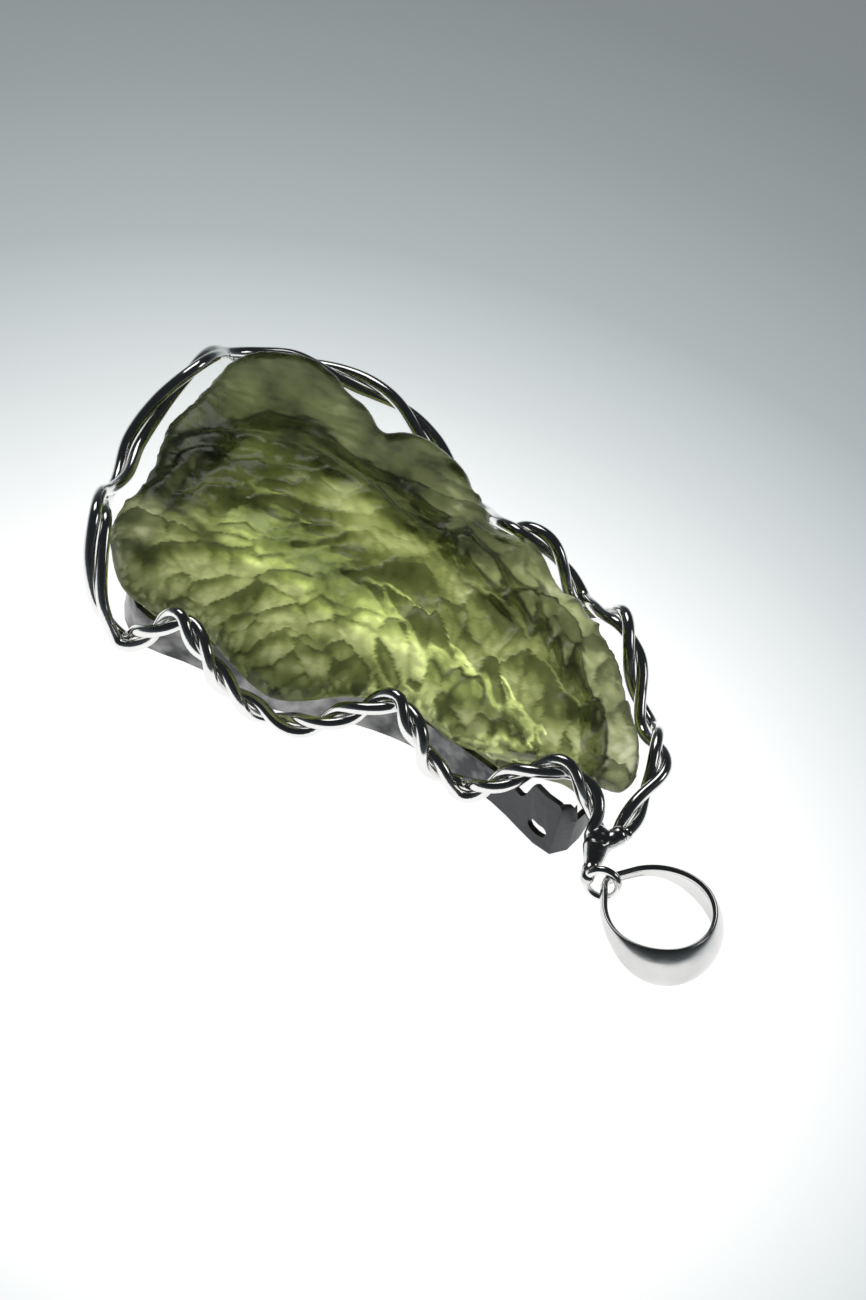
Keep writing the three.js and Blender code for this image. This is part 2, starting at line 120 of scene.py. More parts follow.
def near(value, middle, reach):
    """1 at the middle, falling smoothly to a third at the reach."""
    return math.exp(-(((value - middle) / reach) ** 2))


# Painted soft shadows in the glass: x, y, reach along x, reach along y and how dark, in mm
SHADOWS = [
    (-16, -2.8, 4.8, 3.4, 0.72), (-7, -3.2, 4.2, 2.2, 0.75), (-22, 8, 6, 5, 0.3),
    (-9.8, -8.4, 1.7, 1, 0.7), (-4, -6.6, 1.5, 0.7, 0.6), (-17.3, -10.2, 2.4, 0.9, 0.85),
    (-15.4, -6.6, 3.4, 0.55, 0.75), (-21.8, -4.6, 1.2, 2.6, 0.8), (-1, -5, 1.2, 0.8, 0.6),
    (1.5, -1.8, 1.6, 0.7, 0.6), (3.8, -2.6, 1.6, 0.6, 0.7), (2.4, 3.6, 1.6, 0.8, 0.5),
    (7.5, 4.6, 2.4, 0.5, 0.5), (-12.6, -1.6, 2.2, 0.5, 0.6), (-6.4, -3.4, 2.2, 0.6, 0.35),
]


SCALLOP_DEPTH = 0.26  # mm, as the two pit depths are too
SCALLOP_TILT = 0.06  # each scallop is this much deeper per mm towards the near side
PIT_DEPTH = 0.04  # of the small pits all over
RIM_PIT_DEPTH = 0.08  # added to the pits on the rough upper rim
DARKEST = 0.1  # least painted light of a whole place, before the painted shade of its seams


def etched(place, normal):
    """Depth of the etching at a point in mm, the light and shade painted into the glass's colour
    there and how rough it is.
    """
    x, y, z = place / MM
    patch = noise.noise(Vector((x, y, z)) / 3.2)
    streak = noise.noise(Vector((x * 0.9 + y * 0.5, (y - 0.5 * x) * 3.2, z)))
    beyond = y - ridge_at(x)
    upper = step(normal.z, 0.1, 0.6)
    shelf = step(beyond, 0.2, 1.1) * step(-x, 3.6, 5.6) * upper
    bright = near(beyond, -2.3, 1.5) * step(x, -16, -11) * step(-x, -1, 2) * upper
    drawn = step(x, -12, 2)
    under = step(-normal.z, 0, 0.4)
    bowl, seam, nearer = scallop(x, y, z, 2.6 + 0.8 * drawn, 1.8 - 0.3 * drawn)
    small, _, _ = scallop(x + 9, y + 4, z + 2, 1.0, 0.62)
    shoulder = near(normal.z, 0.25, 0.3) * step(z, 3.6, 4.6)
    strength = (1 - 0.8 * shelf * step(-x, 9, 12)) * (1 - 0.6 * bright)
    depth = strength * (SCALLOP_DEPTH * bowl + SCALLOP_TILT * nearer)
    depth += (PIT_DEPTH + RIM_PIT_DEPTH * shoulder) * small
    depth *= 1 - under
    # painted shade: each scallop is left clear where it laps over the next one and painted dark
    # behind, where that one ends
    behind = 1 - step(nearer, -1, 0.25)
    lapped = (1 - (0.3 + 0.6 * behind) * (1 - step(seam, 0, 0.35))) * (1 - 0.75 * behind)
    # painted shade on the rims of the small pits
    fine = 0.75 + 0.25 * step(small, 0, 0.5)
    # painted shade, darkest at the far side of the broad end, with painted light along the thin near
    # edge and a painted highlight along the ridge
    flank = step(-beyond, 7, 10.2)
    level = 0.28 + 0.42 * patch + 0.95 * flank + 0.32 * step(x, -5, 3) + 0.6 * bright
    level -= 0.1 * shelf * step(-x, 9, 14)
    for dark_x, dark_y, reach_x, reach_y, share in SHADOWS:
        level *= 1 - share * near(x, dark_x, reach_x) * near(y, dark_y, reach_y) * upper
    light = min(1, max(DARKEST, level)) * (1 - 0.8 * strength * (1 - lapped)) * fine
    # painted shade, nearly black, along the foot of the step and in the tangle of folds where the
    # step ends
    foot = near(beyond, 0.1, 1.1) * step(-x, 3.4, 5) * upper
    light *= 1 - 0.98 * foot * (0.7 + 0.3 * step(streak, -0.5, 0))
    tangle = near(x, -4.6, 3.6) * near(y, 5.8, 2) * upper
    light *= 1 - 0.97 * tangle * (0.3 + 0.7 * step(streak, -0.4, 0.1))
    # rubbed rough on the upper rim, where the painted shade is lifted but painted shade is added
    # round its small pits; no painted shade on the underside
    worn = shoulder * step(noise.noise(Vector((x, y, z)) * 1.3), -0.2, 0.2)
    light += (1 - light) * max(0.85 * worn, under)
    light *= 1 - 0.55 * shoulder * (1 - step(small, 0.05, 0.6))
    frost = max(0.5 * worn, 0.5 * under, 0.55 * flank)
    return depth, light, frost


stone = welded_copy("stone", "stone_body")
skin = stone.modifiers.new("skin", "REMESH")
skin.mode = "VOXEL"
skin.voxel_size = STONE_SKIN
finished_mesh(stone)

body = bmesh.new()
body.from_mesh(stone.data)
for _ in range(STONE_SMOOTHING):
    bmesh.ops.smooth_vert(
        body, verts=body.verts, factor=0.6, use_axis_x=True, use_axis_y=True, use_axis_z=True
    )
body.normal_update()
normals = [vert.normal.copy() for vert in body.verts]
# painted light and shade, kept per point for the glass's colour
painted_light = body.verts.layers.float.new("painted_light")
wear = body.verts.layers.float.new("wear")
for vert, normal in zip(body.verts, normals):
    place = vert.co - DRAWING_MIDDLE
    depth, vert[painted_light], vert[wear] = etched(place, normal)
    swell = STONE_SWELL * step(place.z / MM, 3, 4)
    vert.co += normal * (swell - depth) * MM
    vert.co.z = min(max(vert.co.z, 0), STONE_TOP)
for face in body.faces:
    face.smooth = True
body.to_mesh(stone.data)
body.free()


def olive_glass():
    material = bpy.data.materials.new("olive_glass")
    material.use_nodes = True
    nodes = material.node_tree.nodes
    links = material.node_tree.links
    glass = nodes["Principled BSDF"]
    glass.inputs["Transmission Weight"].default_value = 1
    glass.inputs["IOR"].default_value = 1.48
    place = nodes.new("ShaderNodeTexCoord")
    # fine etched grain
    grain = nodes.new("ShaderNodeTexNoise")
    grain.inputs["Scale"].default_value = 2600
    grain.inputs["Detail"].default_value = 5
    links.new(place.outputs["Object"], grain.inputs["Vector"])
    ripple = nodes.new("ShaderNodeTexNoise")
    ripple.inputs["Scale"].default_value = 700
    ripple.inputs["Detail"].default_value = 3
    links.new(place.outputs["Object"], ripple.inputs["Vector"])
    height = nodes.new("ShaderNodeMath")
    height.operation = "MULTIPLY_ADD"
    height.inputs[1].default_value = 0.3
    links.new(grain.outputs["Fac"], height.inputs[0])
    links.new(ripple.outputs["Fac"], height.inputs[2])
    bump = nodes.new("ShaderNodeBump")
    bump.inputs["Strength"].default_value = 0.5
    bump.inputs["Distance"].default_value = 0.00012
    links.new(height.outputs["Value"], bump.inputs["Height"])
    links.new(bump.outputs["Normal"], glass.inputs["Normal"])
    # rims rubbed rough
    worn = nodes.new("ShaderNodeAttribute")
    worn.attribute_name = "wear"
    rough = nodes.new("ShaderNodeMapRange")
    rough.inputs["To Min"].default_value = 0.24
    rough.inputs["To Max"].default_value = 0.85
    links.new(worn.outputs["Fac"], rough.inputs["Value"])
    links.new(rough.outputs["Result"], glass.inputs["Roughness"])
    # painted shade between the scallops and clear in their middles, with a faint mottle
    lit = nodes.new("ShaderNodeAttribute")
    lit.attribute_name = "painted_light"
    mottle = nodes.new("ShaderNodeMath")
    mottle.operation = "MULTIPLY_ADD"
    mottle.inputs[1].default_value = 0.35
    mottle.inputs[2].default_value = -0.18
    links.new(ripple.outputs["Fac"], mottle.inputs[0])
    level = nodes.new("ShaderNodeMath")
    links.new(lit.outputs["Fac"], level.inputs[0])
    links.new(mottle.outputs["Value"], level.inputs[1])
    tone = nodes.new("ShaderNodeValToRGB")
    tone.color_ramp.elements[0].color = (0.005, 0.006, 0.004, 1)
    tone.color_ramp.elements[1].color = (1, 1, 0.82, 1)
    for position, color in ((0.25, (0.05, 0.058, 0.026, 1)), (0.5, (0.24, 0.26, 0.13, 1))):
        stop = tone.color_ramp.elements.new(position)
        stop.color = color
    links.new(level.outputs["Value"], tone.inputs["Fac"])
    links.new(tone.outputs["Color"], glass.inputs["Base Color"])
    depth = nodes.new("ShaderNodeVolumeAbsorption")
    depth.inputs["Color"].default_value = (0.62, 0.68, 0.2, 1)
    depth.inputs["Density"].default_value = 180
    links.new(depth.outputs["Volume"], nodes["Material Output"].inputs["Volume"])
    return material


stone.data.materials.clear()
stone.data.materials.append(olive_glass())
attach(stone, "pendant")
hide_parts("stone")

# Band: a wall of silver sheet bent round the base of the stone and soldered shut at the tip,
# where one slot is pierced through it. It is polished, with painted shade darkest at the tip.


def worn_silver_group():
    """Colour, roughness and height of polished silver with fine scratches and a dark cloudy
    tarnishing, which where set high stands for painted shade.
    """
    group = bpy.data.node_groups.new("worn_silver", "ShaderNodeTree")
    face = group.interface
    for name, start in (("Scale", 1), ("Tarnish and Shade", 0.2), ("Scratches", 0.5)):
        socket = face.new_socket(name, in_out="INPUT", socket_type="NodeSocketFloat")
        socket.default_value = start
    face.new_socket("Color", in_out="OUTPUT", socket_type="NodeSocketColor")
    face.new_socket("Roughness", in_out="OUTPUT", socket_type="NodeSocketFloat")
    face.new_socket("Height", in_out="OUTPUT", socket_type="NodeSocketFloat")
    nodes, links = group.nodes, group.links
    given = nodes.new("NodeGroupInput")
    result = nodes.new("NodeGroupOutput")
    place = nodes.new("ShaderNodeTexCoord")
    sized = nodes.new("ShaderNodeVectorMath")
    sized.operation = "SCALE"
    links.new(place.outputs["Object"], sized.inputs[0])
    links.new(given.outputs["Scale"], sized.inputs["Scale"])

    def noise_of(scale, detail, stretch=None):
        source = sized.outputs["Vector"]
        if stretch:
            drawn = nodes.new("ShaderNodeMapping")
            drawn.inputs["Scale"].default_value = stretch
            drawn.inputs["Rotation"].default_value = (0.4, 0.2, 0.7)
            links.new(source, drawn.inputs["Vector"])
            source = drawn.outputs["Vector"]
        texture = nodes.new("ShaderNodeTexNoise")
        texture.inputs["Scale"].default_value = scale
        texture.inputs["Detail"].default_value = detail
        links.new(source, texture.inputs["Vector"])
        return texture.outputs["Fac"]

    def ramp(value, low, high, to_low, to_high):
        spread = nodes.new("ShaderNodeMapRange")
        for name, number in (("From Min", low), ("From Max", high)):
            spread.inputs[name].default_value = number
        spread.inputs["To Min"].default_value = to_low
        spread.inputs["To Max"].default_value = to_high
        links.new(value, spread.inputs["Value"])
        return spread.outputs["Result"]

    clouds = noise_of(420, 4)
    scratches = noise_of(900, 6, (1, 1, 9))
    hammer = noise_of(650, 1)
    dark = nodes.new("ShaderNodeMath")
    dark.operation = "MULTIPLY"
    dark.use_clamp = True
    links.new(ramp(clouds, 0.35, 0.7, 0.5, 0.8), dark.inputs[0])
    links.new(given.outputs["Tarnish and Shade"], dark.inputs[1])
    mix = nodes.new("ShaderNodeMix")
    mix.data_type = "RGBA"
    mix.inputs["A"].default_value = (0.93, 0.925, 0.91, 1)
    mix.inputs["B"].default_value = (0.07, 0.072, 0.075, 1)
    links.new(dark.outputs["Value"], mix.inputs["Factor"])
    links.new(mix.outputs["Result"], result.inputs["Color"])
    rubbed = nodes.new("ShaderNodeMath")
    rubbed.operation = "MULTIPLY_ADD"
    links.new(ramp(scratches, 0.5, 0.8, 0, 0.3), rubbed.inputs[0])
    links.new(given.outputs["Scratches"], rubbed.inputs[1])
    links.new(ramp(dark.outputs["Value"], 0, 1, 0.07, 0.4), rubbed.inputs[2])
    links.new(rubbed.outputs["Value"], result.inputs["Roughness"])
    relief = nodes.new("ShaderNodeMath")
    relief.operation = "MULTIPLY_ADD"
    relief.inputs[1].default_value = 0.25
    links.new(scratches, relief.inputs[0])
    links.new(hammer, relief.inputs[2])
    links.new(relief.outputs["Value"], result.inputs["Height"])
    return group


WORN_SILVER = worn_silver_group()


def polished_silver(name, scale, tarnish_and_shade, scratches):
    material = bpy.data.materials.new(name)
    material.use_nodes = True
    nodes, links = material.node_tree.nodes, material.node_tree.links
    metal = nodes["Principled BSDF"]
    metal.inputs["Metallic"].default_value = 1
    worn = nodes.new("ShaderNodeGroup")
    worn.node_tree = WORN_SILVER
    worn.inputs["Scale"].default_value = scale
    worn.inputs["Tarnish and Shade"].default_value = tarnish_and_shade
    worn.inputs["Scratches"].default_value = scratches
    bump = nodes.new("ShaderNodeBump")
    bump.inputs["Strength"].default_value = 0.35
    bump.inputs["Distance"].default_value = 0.00004
    links.new(worn.outputs["Height"], bump.inputs["Height"])
    links.new(worn.outputs["Color"], metal.inputs["Base Color"])
    links.new(worn.outputs["Roughness"], metal.inputs["Roughness"])
    links.new(bump.outputs["Normal"], metal.inputs["Normal"])
    return material


def dress(piece, material, body_name, *nodes):
    """Smooth faces, its finish, the body it moves with and the solids it stands for."""
    for face in piece.data.polygons:
        face.use_smooth = True
    piece.data.materials.clear()
    piece.data.materials.append(material)
    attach(piece, body_name)
    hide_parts(*nodes)


band = welded_copy("band", "band_wall")
edges = band.modifiers.new("edges", "BEVEL")
edges.width = 0.09 * MM
edges.segments = 3
edges.limit_method = "ANGLE"
edges.angle_limit = math.radians(50)
even = band.modifiers.new("even", "WEIGHTED_NORMAL")
even.weight = 80
# tarnish set far above the other silver's, as painted shade
BAND_TARNISH_AND_SHADE = 1.4
band_silver = polished_silver("band_silver", 1, BAND_TARNISH_AND_SHADE, 0.8)
nodes, links = band_silver.node_tree.nodes, band_silver.node_tree.links
place = nodes.new("ShaderNodeTexCoord")
split = nodes.new("ShaderNodeSeparateXYZ")
links.new(place.outputs["Object"], split.inputs["Vector"])
corner = nodes.new("ShaderNodeMapRange")  # painted shade, darkest in the corner by the tip
for name, value in (
    ("From Min", 8 * MM), ("From Max", 11.5 * MM), ("To Min", BAND_TARNISH_AND_SHADE), ("To Max", 3),
):
    corner.inputs[name].default_value = value
links.new(split.outputs["X"], corner.inputs["Value"])
worn = next(node for node in nodes if node.type == "GROUP")
links.new(corner.outputs["Result"], worn.inputs["Tarnish and Shade"])
dress(band, band_silver, "pendant", "band")

# Strands: two round silver wires twisted about each other. The pair is soldered at the tip, runs
# all round the stone in waves, down to the band and up over the stone's edge, and comes back.

TWIST_ROUTE = [
    (16.45, -1.55, 2.8), (15.6, -0.9, 3.5), (14.5, -0.6, 4.4), (12.4, -0.9, 5.3),
    (10.4, -2.8, 4.2), (9.1, -4, 2.7), (7.7, -4.5, 1.3), (5.4, -5.8, 2.9), (3.8, -6, 4.8),
    (1.8, -5.6, 5.5), (-0.6, -7.8, 3.5), (-2.6, -9.4, 1.7), (-5.2, -10.3, 1.2),
    (-7.4, -11.5, 2.6), (-9.8, -12, 4.7), (-12, -11.7, 5.5), (-13.8, -12.9, 3),
    (-15.4, -13.2, 1.3), (-17.4, -13.6, 3.3), (-19, -12.8, 5.5), (-20.7, -11, 7.2),
    (-22, -9.4, 6.6), (-23, -7.6, 5), (-24, -5.2, 4.4), (-25.4, -2.8, 5), (-25.8, -0.1, 6.8),
    (-25.9, 3.2, 8.1), (-26.6, 5.8, 6.9), (-26.8, 7.8, 5), (-26.2, 9.8, 4.2),
    (-24.3, 12.1, 4.2), (-21, 13.5, 4.4), (-17, 14.6, 4.3), (-13.8, 14.5, 3.5), (-10, 14, 2),
    (-7.2, 13.1, 2.6), (-5.2, 11.9, 4.2), (-3.3, 11.8, 5.7), (-1.3, 12.3, 5.6),
    (0.4, 12.5, 4.5), (2.5, 12.2, 3.2), (4.6, 11.8, 4.4), (6.4, 11.3, 5.7), (8.5, 10.3, 5.1),
    (10.3, 9.2, 3.6), (12.6, 7.8, 3), (14.5, 6.4, 4.2), (15.9, 4.8, 4.2), (16.4, 3.3, 3.6),
    (17.1, 1.2, 3.2), (17.6, -0.5, 2.95),
]  # mm, the middle of the pair
STRAND_RADIUS = 0.42 * MM
STRAND_OFFSET = 0.44 * MM
# Turns of the twist made so far, at shares of the way: tight in front, loose round the broad end
TWIST_TURNS = [(0, 0), (0.33, 7), (0.6, 8.6), (0.76, 10.1), (1, 13.6)]
STRAND_STEPS = 520
ROUTE_STEPS = 24  # between two given points


def smooth_route(points, count):
    """Evenly spaced points on a curve that passes through all the given ones."""
    points = [2 * points[0] - points[1], *points, 2 * points[-1] - points[-2]]
    dense = []
    for before, start, end, after in zip(points, points[1:], points[2:], points[3:]):
        gaps = [math.sqrt((b - a).length) for a, b in ((before, start), (start, end), (end, after))]
        first = (start - before) / gaps[0] - (end - before) / (gaps[0] + gaps[1])
        first = (first + (end - start) / gaps[1]) * gaps[1]
        last = (end - start) / gaps[1] - (after - start) / (gaps[1] + gaps[2])
        last = (last + (after - end) / gaps[2]) * gaps[1]
        for i in range(ROUTE_STEPS):
            t = i / ROUTE_STEPS
            dense.append(
                start * (2 * t**3 - 3 * t**2 + 1)
                + first * (t**3 - 2 * t**2 + t)
                + end * (3 * t**2 - 2 * t**3)
                + last * (t**3 - t**2)
            )
    dense.append(points[-2])
    reach = [0]
    for a, b in zip(dense, dense[1:]):
        reach.append(reach[-1] + (b - a).length)
    even, at = [], 0
    for i in range(count + 1):
        goal = reach[-1] * i / count
        while at < len(dense) - 2 and reach[at + 1] < goal:
            at += 1
        share = (goal - reach[at]) / (reach[at + 1] - reach[at])
        even.append(dense[at].lerp(dense[at + 1], share))
    return even


def turns_at(share):
    for (start, before), (end, after) in zip(TWIST_TURNS, TWIST_TURNS[1:]):
        if share <= end:
            return before + (after - before) * (share - start) / (end - start)
    return TWIST_TURNS[-1][1]


def strand_middle(start_angle):
    """Points along the middle of one strand as it winds round the route."""
    route = [Vector(point) * MM + DRAWING_MIDDLE for point in TWIST_ROUTE]
    count = STRAND_STEPS
    centres = smooth_route(route, count)
    heading = (centres[1] - centres[0]).normalized()
    main_axes = Vector((1, 0, 0)), Vector((0, 1, 0)), Vector((0, 0, 1))
    side = min(main_axes, key=lambda axis: abs(axis.dot(heading)))
    side = heading.cross(heading.cross(side).normalized())
    middles = []
    for i, centre in enumerate(centres):
        ahead = (centres[min(i + 1, count)] - centres[max(i - 1, 0)]).normalized()
        side.rotate(heading.rotation_difference(ahead))
        heading = ahead
        angle = start_angle + 2 * math.pi * turns_at(i / count)
        offset = side * math.cos(angle) + heading.cross(side) * math.sin(angle)
        middles.append(centre + offset * STRAND_OFFSET)
    return middles


def wire_along(points, radius, name):
    """A round wire with closed ends that follows the points."""
    curve = bpy.data.curves.new(name, "CURVE")
    curve.dimensions = "3D"
    curve.bevel_depth = radius
    curve.bevel_resolution = 5
    curve.use_fill_caps = True
    spline = curve.splines.new("POLY")
    spline.points.add(len(points) - 1)
    for knot, point in zip(spline.points, points):
        knot.co = (*point, 1)
    drawn = link(bpy.data.objects.new(name + "_line", curve))
    evaluated = drawn.evaluated_get(bpy.context.evaluated_depsgraph_get())
    mesh = bpy.data.meshes.new_from_object(evaluated)
    bpy.data.objects.remove(drawn)
    shell = bmesh.new()
    shell.from_mesh(mesh)
    bmesh.ops.remove_doubles(shell, verts=shell.verts, dist=1e-7)
    bmesh.ops.recalc_face_normals(shell, faces=shell.faces)
    shell.to_mesh(mesh)
    shell.free()
    return link(bpy.data.objects.new(name, mesh))


strand_silver = polished_silver("strand_silver", 1, 0.15, 0.4)
for letter, start_angle in (("a", 0), ("b", math.pi)):
    strand = wire_along(strand_middle(start_angle), STRAND_RADIUS, f"strand_{letter}")
    dress(strand, strand_silver, "pendant", f"wire_strand_{letter}")

# Stem: a lump of solder, drawn down to a collar, that joins both ends of the strands at the tip
# and carries the eyelet.

STEM_TOP = Vector((16.95, -2.0, 2.6)) * MM + DRAWING_MIDDLE
STEM_FOOT = Vector((17.65, -3.05, 2.1)) * MM + DRAWING_MIDDLE
SOLDER_DROPS = [
    ((16.5, -1.6, 2.8), 0.84), ((17.5, -0.6, 3.0), 0.68), ((17.4, -1.1, 2.85), 0.62),
    ((17.15, -1.6, 2.72), 0.7), ((17.85, -3.5, 2.02), 0.6), ((18.08, -3.98, 1.97), 0.52),
]  # mm, place and radius

lump = bmesh.new()
heading = (STEM_FOOT - STEM_TOP).normalized()
turned = heading.to_track_quat("Z", "Y").to_matrix().to_4x4()
bmesh.ops.create_cone(
    lump,
    cap_ends=True,
    segments=32,
    radius1=0.95 * MM,
    radius2=0.62 * MM,
    depth=(STEM_FOOT - STEM_TOP).length,
    matrix=Matrix.Translation((STEM_TOP + STEM_FOOT) / 2) @ turned,
)
for spot, radius in SOLDER_DROPS:
    drop = Matrix.Translation(Vector(spot) * MM + DRAWING_MIDDLE)
    bmesh.ops.create_icosphere(lump, subdivisions=3, radius=radius * MM, matrix=drop)
mesh = bpy.data.meshes.new("stem_solder")
lump.to_mesh(mesh)
lump.free()
stem = link(bpy.data.objects.new("stem_solder", mesh))
flow = stem.modifiers.new("flow", "REMESH")
flow.mode = "VOXEL"
flow.voxel_size = 0.11 * MM
finished_mesh(stem)
ease = stem.modifiers.new("ease", "SMOOTH")
ease.factor = 0.6
ease.iterations = 8
finished_mesh(stem)
dress(stem, polished_silver("solder_silver", 1.4, 0.45, 0.8), "pendant", "stem")

# Eyelet: a small ring of thin silver wire, soldered upright to the stem, for the bail to hang in.

EYELET_CENTRE = Vector((19.05, -3.6, 1.95)) * MM + DRAWING_MIDDLE
EYELET_RADIUS = 1.05 * MM
EYELET_WIRE = 0.28 * MM
EYELET_HEADING = math.radians(27)
EYELET_LEAN = math.radians(15)

ring = bmesh.new()
section = bmesh.ops.create_circle(ring, segments=16, radius=EYELET_WIRE)["verts"]
bmesh.ops.rotate(ring, verts=section, matrix=Matrix.Rotation(math.radians(90), 3, "X"))
bmesh.ops.translate(ring, verts=section, vec=(EYELET_RADIUS, 0, 0))
bmesh.ops.spin(
    ring, geom=ring.edges[:], cent=(0, 0, 0), axis=(0, 0, 1), angle=2 * math.pi, steps=56,
    use_merge=True,
)
bmesh.ops.remove_doubles(ring, verts=ring.verts, dist=1e-7)
raised = Matrix.Rotation(math.pi / 2 - EYELET_LEAN, 4, "X")
upright = Matrix.Rotation(EYELET_HEADING, 4, "Z") @ raised
bmesh.ops.transform(ring, verts=ring.verts, matrix=Matrix.Translation(EYELET_CENTRE) @ upright)
bmesh.ops.recalc_face_normals(ring, faces=ring.faces)
mesh = bpy.data.meshes.new("eyelet_ring")
ring.to_mesh(mesh)
ring.free()
eyelet = link(bpy.data.objects.new("eyelet_ring", mesh))
dress(eyelet, polished_silver("eyelet_silver", 1.2, 0.15, 0.4), "pendant", "eyelet")

# Bail: a silver strip, wide at its round end and narrow at its neck, bent to a teardrop and hung
# in the eyelet. The chain goes through its loop, and its edges are rounded and well polished.

BAIL_HEADING = math.radians(10)
BAIL_LOOP_RADIUS = 3.3 * MM
BAIL_LOOP_DISTANCE = 3.1 * MM
BAIL_NECK_RADIUS = 0.65 * MM
BAIL_THICKNESS = 0.4 * MM
BAIL_NECK_HEIGHT = 0.85 * MM
BAIL_END_HEIGHT = 3 * MM
BAIL_TAPER_START = 1.4 * MM  # from the back of the neck
BAIL_TAPER_END = 2.7 * MM  # past the middle of the loop
BAIL_EDGE_SHARE = 0.03  # left off each edge of the strip
BAIL_DOME_SHARE = 0.12  # bulge of the strip's middle, as a share of its height
BAIL_FLARE_SHARE = 0.33  # the lower edge stands out by this share of the strip's growth in height
BAIL_ROWS = 8
NECK = BAIL_NECK_RADIUS + BAIL_THICKNESS / 2
LOOP = BAIL_LOOP_RADIUS + BAIL_THICKNESS / 2
SLANT = math.pi / 2 + math.asin((LOOP - NECK) / BAIL_LOOP_DISTANCE)


def teardrop():
    """Points round the middle of the strip's thickness, seen from above, with the neck at 0."""
    points = []
    for middle, radius, start, end, count in (
        (BAIL_LOOP_DISTANCE, LOOP, -SLANT, SLANT, 64),
        (0, NECK, SLANT, 2 * math.pi - SLANT, 16),
    ):
        for i in range(count + 1):
            angle = start + (end - start) * i / count
            points.append(Vector((middle + radius * math.cos(angle), radius * math.sin(angle), 0)))
    return points


def outward(x, y):
    """Direction straight out of the teardrop at a point on it."""
    round_loop = math.atan2(y, x - BAIL_LOOP_DISTANCE)
    round_neck = math.atan2(y, x)
    if abs(round_loop) <= SLANT:
        angle = round_loop
    elif abs(round_neck) >= SLANT:
        angle = round_neck
    else:
        angle = math.copysign(SLANT, y)
    return Vector((math.cos(angle), math.sin(angle), 0))


strip = bmesh.new()
line = [strip.verts.new(point) for point in teardrop()]
edges = [strip.edges.new((a, b)) for a, b in zip(line, line[1:] + line[:1])]
straight = [edge for edge in edges if edge.calc_length() > 1 * MM]
bmesh.ops.subdivide_edges(strip, edges=straight, cuts=6)
row_edges = strip.edges[:]
row = strip.verts.layers.int.new("row")
for number in range(1, BAIL_ROWS + 1):
    raised = bmesh.ops.extrude_edge_only(strip, edges=row_edges)["geom"]
    for item in raised:
        if isinstance(item, bmesh.types.BMVert):
            item[row] = number
    row_edges = [
        item
        for item in raised
        if isinstance(item, bmesh.types.BMEdge) and all(vert[row] == number for vert in item.verts)
    ]
for vert in strip.verts:
    x, y, _ = vert.co
    neck_back = -BAIL_NECK_RADIUS - BAIL_THICKNESS
    share = step(x, neck_back + BAIL_TAPER_START, BAIL_LOOP_DISTANCE + BAIL_TAPER_END)
    low = (1 - share) * (EYELET_CENTRE.z - BAIL_NECK_HEIGHT / 2)
    high = (1 - share) * (EYELET_CENTRE.z + BAIL_NECK_HEIGHT / 2) + share * BAIL_END_HEIGHT
    rise = vert[row] / BAIL_ROWS
    dome = (high - low) * BAIL_DOME_SHARE * (1 - (2 * rise - 1) ** 2)
    flare = (high - low - BAIL_NECK_HEIGHT) * BAIL_FLARE_SHARE * (1 - rise)
    vert.co = vert.co + outward(x, y) * (dome + flare)
    vert.co.z = low + (high - low) * (BAIL_EDGE_SHARE + (1 - 2 * BAIL_EDGE_SHARE) * rise)
outer_wire = Vector((math.cos(EYELET_HEADING), math.sin(EYELET_HEADING), 0)) * EYELET_RADIUS
hinge = EYELET_CENTRE + outer_wire
hinge.z = 0
place = Matrix.Translation(hinge) @ Matrix.Rotation(BAIL_HEADING, 4, "Z")
bmesh.ops.transform(strip, verts=strip.verts, matrix=place)
bmesh.ops.recalc_face_normals(strip, faces=strip.faces)
mesh = bpy.data.meshes.new("bail_strip")
strip.to_mesh(mesh)
strip.free()
bail = link(bpy.data.objects.new("bail_strip", mesh))
thick = bail.modifiers.new("thick", "SOLIDIFY")
thick.thickness = BAIL_THICKNESS
thick.offset = 0
rounded = bail.modifiers.new("rounded", "BEVEL")
rounded.width = 0.12 * MM
rounded.segments = 4
rounded.limit_method = "ANGLE"
rounded.angle_limit = math.radians(50)
# tarnish set high as painted shade, greying the bail's bright reflection
dress(bail, polished_silver("bail_silver", 0.8, 0.45, 0.35), "bail", "bail")

# Table: a plain pale cloth whose painted glow stands in for light from below, brightest under
# the pendant's near side and fading to a cool grey behind it.

GLOW_MIDDLE = Vector((7, -19, 0)) * MM
GLOW_REACH = 120 * MM
TABLE_RADIUS = 1.5

sheet = bmesh.new()
bmesh.ops.create_circle(sheet, cap_ends=True, segments=64, radius=TABLE_RADIUS)
mesh = bpy.data.meshes.new("table")
sheet.to_mesh(mesh)
sheet.free()
table = link(bpy.data.objects.new("table", mesh))
material = bpy.data.materials.new("lit_cloth")
material.use_nodes = True
nodes, links = material.node_tree.nodes, material.node_tree.links
cloth = nodes["Principled BSDF"]
cloth.inputs["Roughness"].default_value = 0.9
cloth.inputs["Base Color"].default_value = (0.75, 0.77, 0.77, 1)
place = nodes.new("ShaderNodeTexCoord")
away = nodes.new("ShaderNodeVectorMath")
away.operation = "DISTANCE"
away.inputs[1].default_value = GLOW_MIDDLE
links.new(place.outputs["Object"], away.inputs[0])
reach = nodes.new("ShaderNodeMapRange")
reach.inputs["From Max"].default_value = GLOW_REACH
links.new(away.outputs["Value"], reach.inputs["Value"])
fade = nodes.new("ShaderNodeValToRGB")
links.new(reach.outputs["Result"], fade.inputs["Fac"])
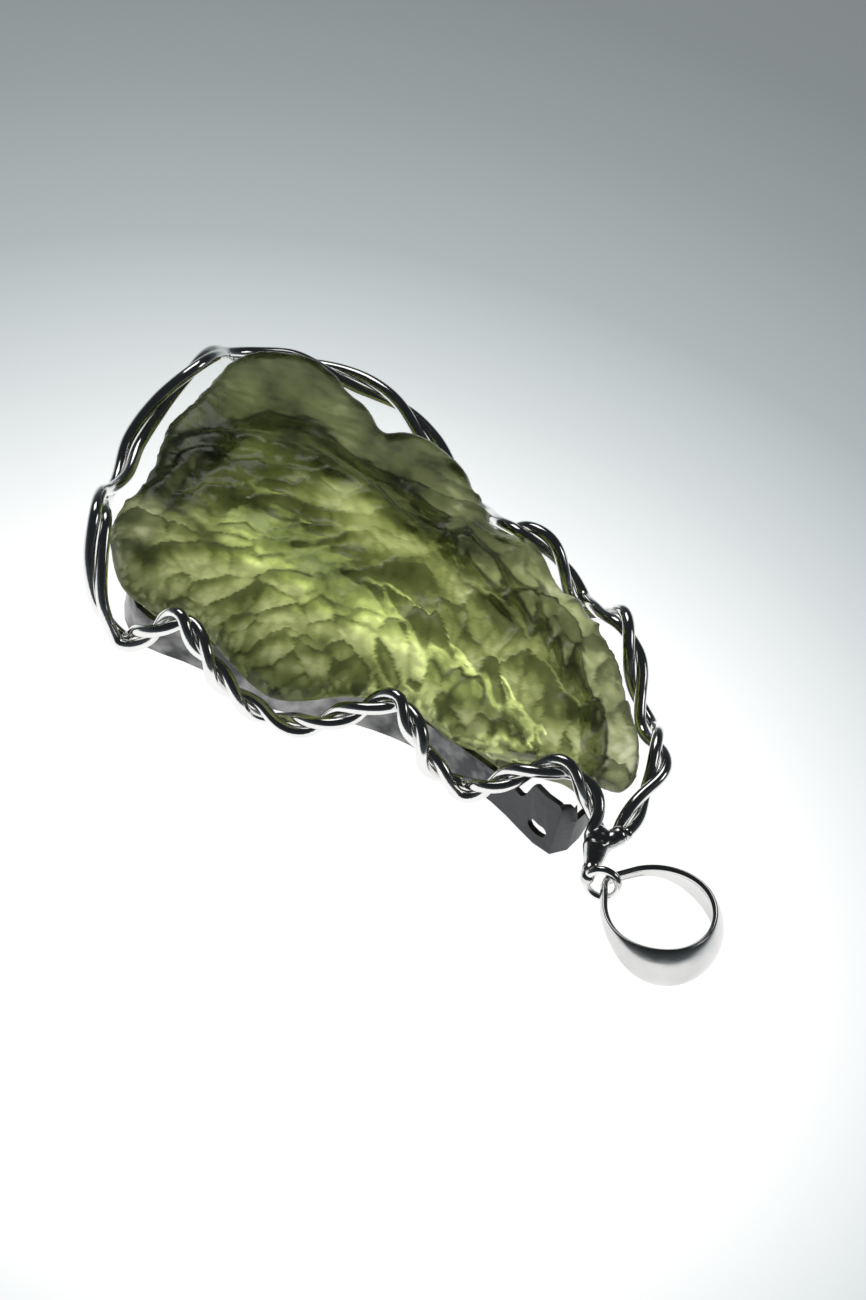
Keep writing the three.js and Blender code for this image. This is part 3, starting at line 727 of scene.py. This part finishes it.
# brightness of the glow at shares of its reach
levels = [
    (0.26, 1.0), (0.32, 0.84), (0.4, 0.62), (0.5, 0.38), (0.63, 0.24), (0.76, 0.15), (1, 0.11),
]
stops = fade.color_ramp.elements
for position, level in levels[1:-1]:
    stops.new(position)
for stop, (position, level) in zip(sorted(stops, key=lambda item: item.position), levels):
    stop.position = position
for stop, (position, level) in zip(stops, levels):
    cool = 1 - level
    stop.color = (level * (1 - 0.2 * cool), level * (1 - 0.02 * cool), level, 1)
links.new(fade.outputs["Color"], cloth.inputs["Emission Color"])
cloth.inputs["Emission Strength"].default_value = 0.98
table.data.materials.append(material)

# Room and lamps: a dim grey room and two wide soft lamps, so that the silver shows dark against
# the bright table.

world = bpy.data.worlds.new("room")
bpy.context.scene.world = world
world.use_nodes = True
nodes, links = world.node_tree.nodes, world.node_tree.links
place = nodes.new("ShaderNodeTexCoord")
split = nodes.new("ShaderNodeSeparateXYZ")
links.new(place.outputs["Generated"], split.inputs["Vector"])
sky = nodes.new("ShaderNodeValToRGB")
sky.color_ramp.elements[0].position = 0.0
sky.color_ramp.elements[0].color = (0.07, 0.08, 0.085, 1)
sky.color_ramp.elements[1].position = 0.5
sky.color_ramp.elements[1].color = (0.016, 0.018, 0.02, 1)
links.new(split.outputs["Z"], sky.inputs["Fac"])
links.new(sky.outputs["Color"], nodes["Background"].inputs["Color"])


def soft_lamp(name, place, size, watts):
    lamp = bpy.data.lights.new(name, "AREA")
    lamp.size = size
    lamp.energy = watts
    holder = link(bpy.data.objects.new(name, lamp))
    holder.location = place
    holder.rotation_euler = (-Vector(place)).to_track_quat("-Z", "Y").to_euler()
    return holder


soft_lamp("lamp_left", (-0.25, 0.1, 0.35), 0.2, 0.22)
soft_lamp("lamp_right", (0.3, 0.25, 0.3), 0.16, 0.12)

# Camera: a long lens, turned to the photo's angle and tilted as it is there.

AIM = Vector((-2.4, 3.6, 0)) * MM + DRAWING_MIDDLE
DISTANCE = 0.341
TURN, RISE, ROLL = math.radians(32), math.radians(48), math.radians(15)

camera = link(bpy.data.objects.new("camera", bpy.data.cameras.new("camera")))
camera.data.lens = 141.5
camera.data.clip_start = 0.01
camera.data.clip_end = 10
back = Vector((math.sin(TURN) * math.cos(RISE), -math.cos(TURN) * math.cos(RISE), math.sin(RISE)))
right = Vector((math.cos(TURN), math.sin(TURN), 0))
up = back.cross(right)
across = math.cos(ROLL) * right + math.sin(ROLL) * up
upward = math.cos(ROLL) * up - math.sin(ROLL) * right
camera.matrix_world = Matrix.Translation(AIM + back * DISTANCE) @ Matrix(
    (across, upward, back)
).transposed().to_4x4()
bpy.context.scene.camera = camera
bpy.context.scene.view_settings.view_transform = "Standard"
